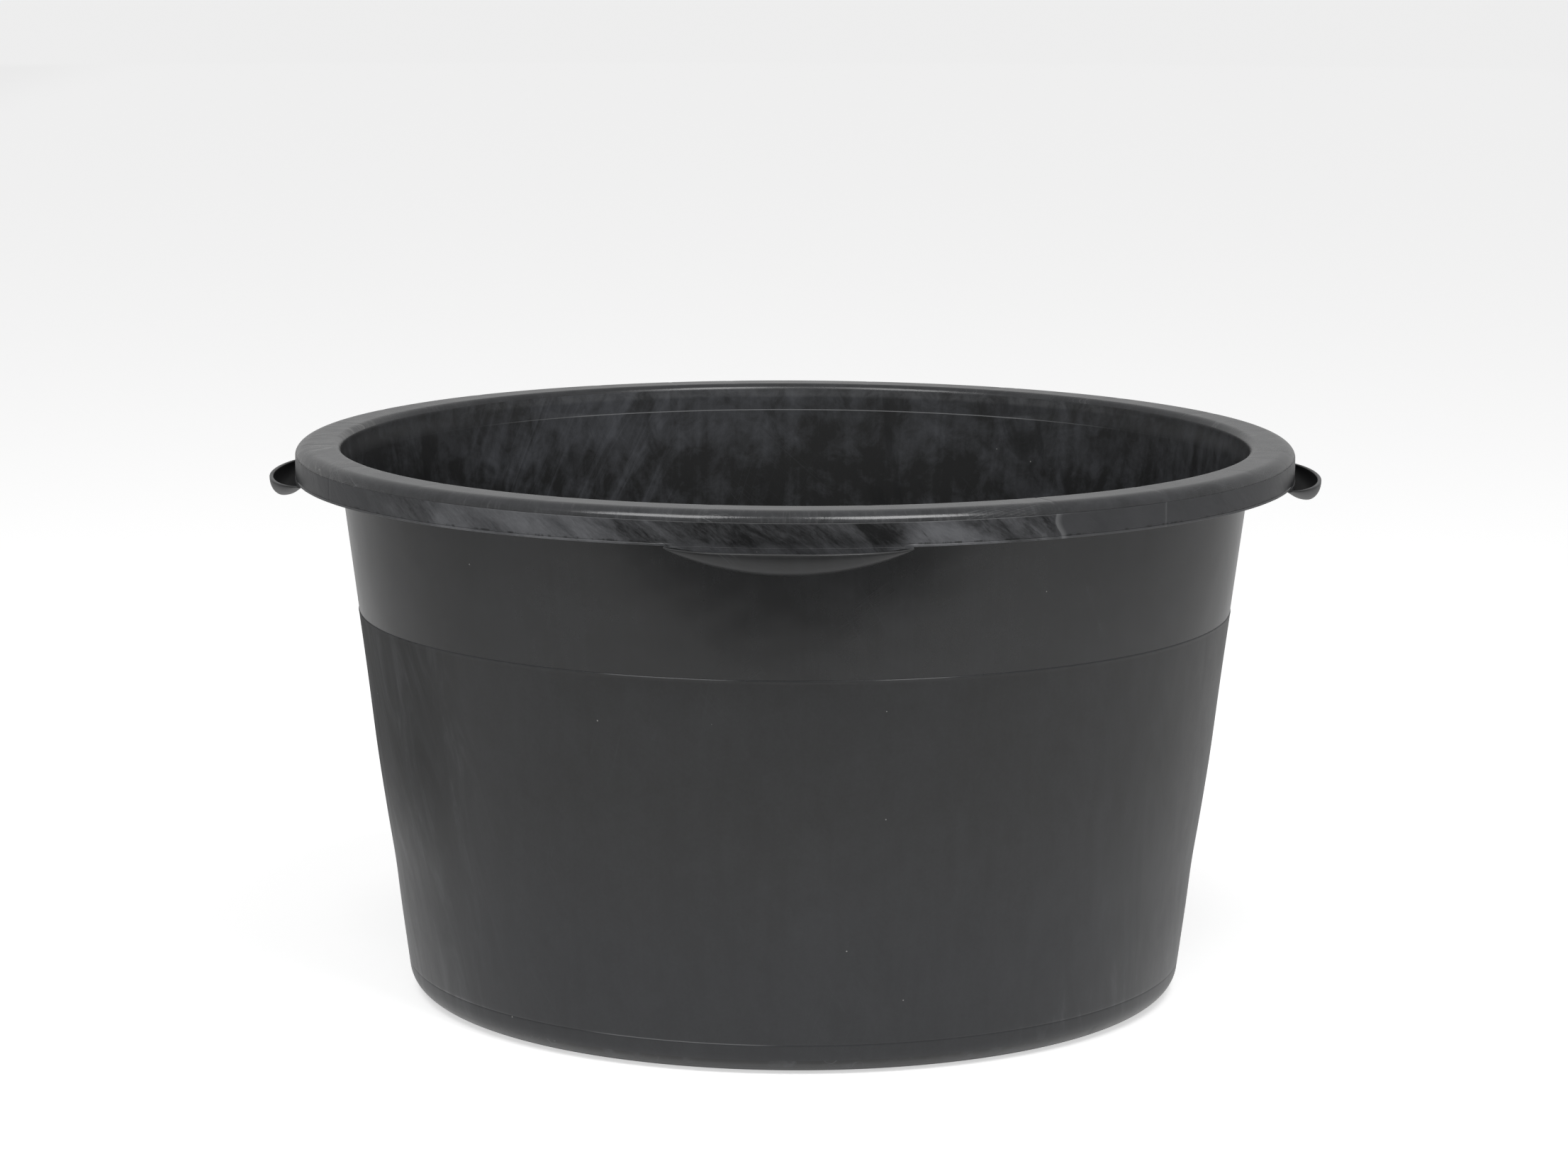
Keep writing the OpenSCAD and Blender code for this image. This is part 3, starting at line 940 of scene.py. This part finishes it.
def rim_shape(r, z, a):
    """Presses the creases and sinks into the rim's outside, square to it."""
    on_top = np.clip((z - UNDER_Z - 0.8) / 1.5, 0, 1)
    outside = np.clip((r - (RIM_R - 2.4)) / 1.5, 0, 1)
    crease = weld_grooves(a)
    return r - crease * outside, z - crease * on_top * 0.7 - sinks(a) * on_top


def rim_flange():
    """The rim's top, from its rounded inner edge to the upper part of its shoulder."""
    crest_z = TOTAL_H - CREST_R
    crest = (neck_in(crest_z) + CREST_R / math.cos(LEAN), crest_z)
    under = (wall_out(UNDER_Z - FILLET) + FILLET / math.cos(LEAN), UNDER_Z - FILLET)
    lean = math.degrees(LEAN)
    outline = chain(
        (wall_out(NECK_Z), NECK_Z),
        arc(under, FILLET, FILLET, 180 - lean, 90, 5),
        straight((under[0], UNDER_Z), (RIM_R - SHOULDER_W, UNDER_Z), 3),
        shoulder(RIM_T, 90, SHOULDER_SPLIT, 6),
        shoulder(0, SHOULDER_SPLIT, 90, 12),
        straight((RIM_R - SHOULDER_W, TOTAL_H), (crest[0], TOTAL_H), 7),
        arc(crest, CREST_R, CREST_R, 90, 180 - lean, 14),
        (neck_in(NECK_Z), NECK_Z),
    )

    def finish_at(r, z):
        if z < NECK_Z + 2.5 and r < crest[0]:
            return 1 if r < neck_in(z) + 1.5 else 2
        below = z < UNDER_Z + 0.2 and crest[0] - 2.2 < r < RIM_R - 2.2
        return 2 if below else 0

    piece = revolve("tub_rim_flange", outline, [RIM, INSIDE, UNDER], finish_at, rim_shape)
    keep(piece, "rim_flange")


# The parting line's nick fades out from an angle on both sides of its middle
NICK_DEPTH, NICK_MIDDLE, NICK_FROM, NICK_FADE = 0.095, 3, 38, 8
RAGGED_OUT = 0.25


def rim_skirt():
    """The skirt with its bead, and the lower part of the shoulder, with the parting line."""
    z = SKIRT_Z + np.concatenate([[0.0, 0.12, 0.3], np.arange(0.45, 2.8, 0.17)])
    swell = BEAD_OUT * np.clip(1 - ((z - SKIRT_Z - BEAD_MIDDLE) / BEAD_HALF) ** 4, 0, 1)
    notch = NOTCH_DEPTH * bell(z, SKIRT_Z + BEAD_H, NOTCH_HALF)
    bead = np.stack([RIM_R + swell - notch, z], -1)
    parting = SHOULDER_Z + 0.3
    outline = chain(
        (SKIRT_R, SKIRT_Z + 0.5),
        (SKIRT_R + 0.15, SKIRT_Z + 0.12),
        (SKIRT_R + 0.5, SKIRT_Z),
        (RIM_R - 0.4, SKIRT_Z),
        bead,
        straight((RIM_R, SKIRT_Z + 3.2), (RIM_R, parting - 1.0), 6),
        (RIM_R, parting - 0.35),
        (RIM_R - 0.1, parting),
        (RIM_R - 0.02, parting + 0.35),
        shoulder(0, 6, SHOULDER_SPLIT, 9),
        shoulder(RIM_T, SHOULDER_SPLIT, 0, 6),
        straight((SKIRT_R, SHOULDER_Z - 2), (SKIRT_R, SKIRT_Z + 2), 4),
    )

    def shape(r, z, a):
        """The bead and its ragged edge fade out along the ears."""
        beaded = (r > RIM_R - 1) & (z < SKIRT_Z + 2.9)
        fade = 1 - ear_zone(a)
        kept = np.where(z > SKIRT_Z + 0.05, fade, 1)
        r = np.where(beaded, RIM_R + (r - RIM_R) * kept, r)
        ragged = np.clip(waves(31, 7, 60, 160, a, 0 * z), 0.1, 1) - 0.1
        r = r + RAGGED_OUT * ragged * fade * beaded * (z < SKIRT_Z + 0.35)
        nicked = (np.abs(z - parting) < 0.01) & (r < RIM_R)
        filled = np.clip((np.abs(apart(a, NICK_MIDDLE)) - NICK_FROM) / NICK_FADE, 0, 1)
        r = r + np.where(nicked, NICK_DEPTH * filled, 0)
        return rim_shape(r, z, a)

    def finish_at(r, z):
        if r < SKIRT_R + 0.6 or (r < RIM_R - 0.6 and z < SKIRT_Z + 0.3):
            return 2
        return int(z > parting)

    piece = revolve("tub_rim_skirt", outline, [SKIRT, RIM, UNDER], finish_at, shape)
    keep(piece, "rim_skirt")


# A rib's layers across its thickness, as (place from -0.5 to 0.5, lift of the lower edge)
RIB_LAYERS = ((-0.5, 0.7), (-0.42, 0.2), (-0.25, 0.0), (0.25, 0.0), (0.42, 0.2), (0.5, 0.7))


def end_faces(first, rows, count):
    """The two faces that close a run of sections, from the number of its first vertex."""
    last = first + (rows - 1) * count
    return [[first + j for j in range(count)], [last + j for j in reversed(range(count))]]


def rim_ribs():
    """Stiffening ribs under the rim, each a closed solid with softened lower edges."""
    lean = math.degrees(LEAN)
    under = (wall_out(UNDER_Z - FILLET) + FILLET / math.cos(LEAN), UNDER_Z - FILLET)
    low = straight((wall_out(RIB_LOW), RIB_LOW), (SKIRT_R, RIB_LOW + 3), 6)
    low[1:-1, 1] += 1.6 * np.sin(np.pi * np.linspace(0, 1, 7)[1:-1])
    outline = chain(low, shoulder(RIM_T, 0, 90, 8), arc(under, FILLET, FILLET, 90, 180 - lean, 5))
    at_low = np.arange(len(outline)) < len(low)
    count = len(outline)
    vertices, faces = [], []
    for i in range(RIB_COUNT):
        first = i * len(RIB_LAYERS) * count
        for side, lift in RIB_LAYERS:
            r, z = outline[:, 0], outline[:, 1] + lift * at_low
            a = rib_angle(i) + np.degrees(np.arcsin(side * RIB_T / r))
            vertices.append(place(r, z, a))
        faces += (grid_faces(len(RIB_LAYERS), count, False) + first).tolist()
        faces += end_faces(first, len(RIB_LAYERS), count)
    picked = [0] * len(faces)
    piece = make_mesh("tub_rim_ribs", np.concatenate(vertices), faces, [UNDER], picked, 40)
    keep(piece, "rim_ribs")


def ear_edge(a):
    """Radius of an ear's edge at an angle from its middle: an ellipse in plan."""
    s, c = np.sin(np.radians(a)), np.cos(np.radians(a))
    across = (s / EAR_LONG) ** 2 + (c / EAR_SHORT) ** 2
    along = EAR_MID_R * c / EAR_SHORT ** 2
    rest = (EAR_MID_R / EAR_SHORT) ** 2 - 1
    return (along + np.sqrt(np.maximum(along ** 2 - across * rest, 0))) / across


def ear_side(r0, r1, low, steps, top):
    """One side of an ear's shell in section, from the skirt down and out to the edge."""
    middle, rise = r0 + EAR_LOW_AT * (r1 - r0), 0.55 * low
    back = arc((middle, EAR_Z - low + rise), middle - r0, rise, 180, 270, steps)
    front = arc((middle, top), r1 - middle, low - (EAR_Z - top), 270, 360, steps)
    return np.concatenate([[(r0, SKIRT_Z)], back, front[1:]])


def ear(name, turn):
    """An ear: sections round the tub, each an outer side, a rounded edge and an inner side."""
    steps, closeness = 10, 0.92
    spread = np.linspace(-1, 1, 73)
    angles = EAR_HALF * np.sign(spread) * np.abs(spread) ** closeness
    sections = []
    for a in angles:
        low = max(EAR_DEPTH * (1 - (a / (EAR_HALF + 0.25)) ** 2), 0.9)
        low_in = max(low - EAR_T, EAR_LEAST)
        r_out = max(ear_edge(a), RIM_R + 2 * EAR_LEAST)
        r_in = max(r_out - EAR_T, RIM_R + EAR_LEAST)
        cap = min((r_out - r_in) * EAR_CAP, low * 0.45)
        outer = ear_side(SKIRT_R, r_out, low, steps, EAR_Z - cap)
        inner = ear_side(RIM_R, r_in, low_in, steps, EAR_Z - min(cap, low_in * 0.5))
        edge = arc(((r_out + r_in) / 2, EAR_Z - cap), (r_out - r_in) / 2, cap, 0, 180, 8)[1:-1]
        sections.append(np.concatenate([outer, edge, inner[::-1]]))
    sections = np.array(sections)
    count = sections.shape[1]
    vertices = place(sections[..., 0], sections[..., 1], (turn + angles)[:, None]).reshape(-1, 3)
    faces = grid_faces(len(angles), count, False).tolist()
    in_section = (np.arange(count) >= count - 2 * steps - 2).astype(int)
    in_section[-2] = 2    # the upright face that continues the skirt above the bowl
    picked = np.tile(in_section, len(angles) - 1).tolist() + [0, 0]
    faces += end_faces(0, len(angles), count)
    piece = make_mesh(f"tub_{name}_ear", vertices, faces, [EAR, BOWL, SKIRT], picked, 40)
    keep(piece, f"{name}_ear")


for build in (floor_plate, base_band, lower_wall, upper_wall, rim_flange, rim_skirt, rim_ribs):
    build()
for ear_name, ear_turn in EARS.items():
    ear(ear_name, ear_turn)


# ---------- studio, in metres

WHITE = (1, 1, 1, 1)
FLOOR_RADIUS, FLOOR_SIDES, FLOOR_DROP, FLOOR_GLOW = 30, 96, 0.0002, 0.55
SHEET_FROM, SHEET_TO, SHEET_SIDES, SHEET_Z = 0.27, 12.0, 128, 0.0008
SHEET_NEAR, SHEET_FAR = 0.92, 0.72
SHEET_WIDE, SHEET_DEEP = 2.4, 1.0
SHEET_MIDDLE, SHEET_ASIDE = 14.0, 0.6
GRIT_SCALE, GRIT_DEPTH = 60.0, 0.0002
LIGHT_SIZE, LIGHT_AIM = (1.2, 1.3), (0, 0, 0.3)
AIR_LEVEL, AIR_OVERHEAD = 0.55, 0.3
AIR_FADE = (0.1, 0.8)


def circle(radius, z, sides):
    """Points round a level circle."""
    turns = np.linspace(0, 2 * math.pi, sides, endpoint=False)
    return [(radius * math.cos(turn), radius * math.sin(turn), z) for turn in turns]


def stage(name, points, faces, finish):
    """A piece of the studio, which isn't part of the tub."""
    mesh = bpy.data.meshes.new(name)
    mesh.from_pydata(points, [], faces)
    mesh.materials.append(finish)
    piece = add_object(name, mesh)
    return piece


def studio_floor():
    """A wide pale floor, lit a little from within so that it stays pale round the tub's foot."""
    f = Finish("studio_pale")
    f.feed(f.shader.inputs["Emission Color"], WHITE)
    f.shader.inputs["Emission Strength"].default_value = FLOOR_GLOW
    grit = f.bump(f.noise(f.place, GRIT_SCALE), GRIT_DEPTH)
    points = circle(FLOOR_RADIUS, -FLOOR_DROP, FLOOR_SIDES)
    pale = f.finish((0.8, 0.8, 0.8, 1), 0.9, grit)
    stage("studio_floor", points, [list(range(FLOOR_SIDES))], pale)


def studio_sheet():
    """What the tub's gloss mirrors of the floor away from its foot: a pale sheet that dims with
    distance and towards the back, and ends ahead of the tub. Only glossy rays see it."""
    inner = circle(SHEET_FROM, SHEET_Z, SHEET_SIDES)
    outer = circle(SHEET_TO, SHEET_Z, SHEET_SIDES)
    count = SHEET_SIDES
    faces = [[i, (i + 1) % count, count + (i + 1) % count, count + i] for i in range(count)]
    f = Finish("studio_sheet")
    near = f.span(f.radius, 0.9, 1.6, SHEET_NEAR, SHEET_FAR)
    ahead = f.add("ShaderNodeCombineXYZ")
    f.feed(ahead.inputs[0], f.math("DIVIDE", f.x, SHEET_WIDE))
    f.feed(ahead.inputs[1], f.math("DIVIDE", f.math("MINIMUM", f.y, 0.0), SHEET_DEEP))
    edge = f.span(f.vector("LENGTH", ahead.outputs[0]), 0.9, 1.08, 1.0, 0.06)
    turned = f.math("ABSOLUTE", f.math("SUBTRACT", f.azimuth, SHEET_MIDDLE))
    aside = f.span(turned, 25.0, 135.0, 1.0, SHEET_ASIDE)
    f.feed(f.shader.inputs["Emission Color"], WHITE)
    f.feed(f.shader.inputs["Emission Strength"], f.product(near, edge, aside))
    grit = f.bump(f.noise(f.place, GRIT_SCALE), GRIT_DEPTH)
    piece = stage("studio_sheet", inner + outer, faces, f.finish((0.0, 0.0, 0.0, 1), 0.9, grit))
    piece.visible_camera = False
    piece.visible_diffuse = False
    piece.visible_shadow = False


def soft_light(name, at, power):
    """A large soft light that faces the tub."""
    data = bpy.data.lights.new(name, "AREA")
    data.shape = "RECTANGLE"
    data.size, data.size_y = LIGHT_SIZE
    data.energy = power
    lamp = add_object(name, data)
    lamp.location = at
    lamp.rotation_euler = (Vector(LIGHT_AIM) - Vector(at)).to_track_quat("-Z", "Y").to_euler()


def studio_air():
    """A plain pale world, brightest round the horizon and dimmer overhead."""
    world = bpy.data.worlds.new("studio")
    bpy.context.scene.world = world
    world.use_nodes = True
    tree = world.node_tree
    where = tree.nodes.new("ShaderNodeTexCoord")
    split = tree.nodes.new("ShaderNodeSeparateXYZ")
    fade = tree.nodes.new("ShaderNodeMapRange")
    tree.links.new(where.outputs["Generated"], split.inputs[0])
    tree.links.new(split.outputs["Z"], fade.inputs["Value"])
    for socket, number in zip(RANGE_SOCKETS, (*AIR_FADE, AIR_LEVEL, AIR_OVERHEAD)):
        fade.inputs[socket].default_value = number
    tree.links.new(fade.outputs[0], tree.nodes["Background"].inputs["Strength"])
    tree.nodes["Background"].inputs["Color"].default_value = WHITE


def studio_camera():
    """The camera stands at the height and distance that give the view, with a slight roll."""
    lens, height, away, azimuth = 109.2, 0.8307, 3.3164, math.radians(0.65)
    pitch, yaw, roll = math.radians(-9.404), math.radians(-0.129), math.radians(0.157)
    data = bpy.data.cameras.new("camera")
    data.lens, data.sensor_width, data.clip_end = lens, 36.0, 100.0
    camera = add_object("camera", data)
    at = Vector((away * math.sin(azimuth), -away * math.cos(azimuth), height))
    level = Vector((-at.x, -at.y, 0)).normalized()
    level = Matrix.Rotation(-yaw, 3, "Z") @ level
    forward = level * math.cos(pitch) + Vector((0, 0, math.sin(pitch)))
    right = forward.cross(Vector((0, 0, 1))).normalized()
    up = right.cross(forward)
    tilted_right = right * math.cos(roll) + up * math.sin(roll)
    tilted_up = up * math.cos(roll) - right * math.sin(roll)
    turn = Matrix((tilted_right, tilted_up, -forward)).transposed()
    camera.matrix_world = Matrix.Translation(at) @ turn.to_4x4()
    bpy.context.scene.camera = camera


studio_floor()
studio_sheet()
soft_light("left", (-1.1, -1.5, 2.7), 34)
soft_light("right", (0.9, -1.6, 2.7), 44)
studio_air()
studio_camera()
bpy.context.scene.view_settings.view_transform = "Standard"
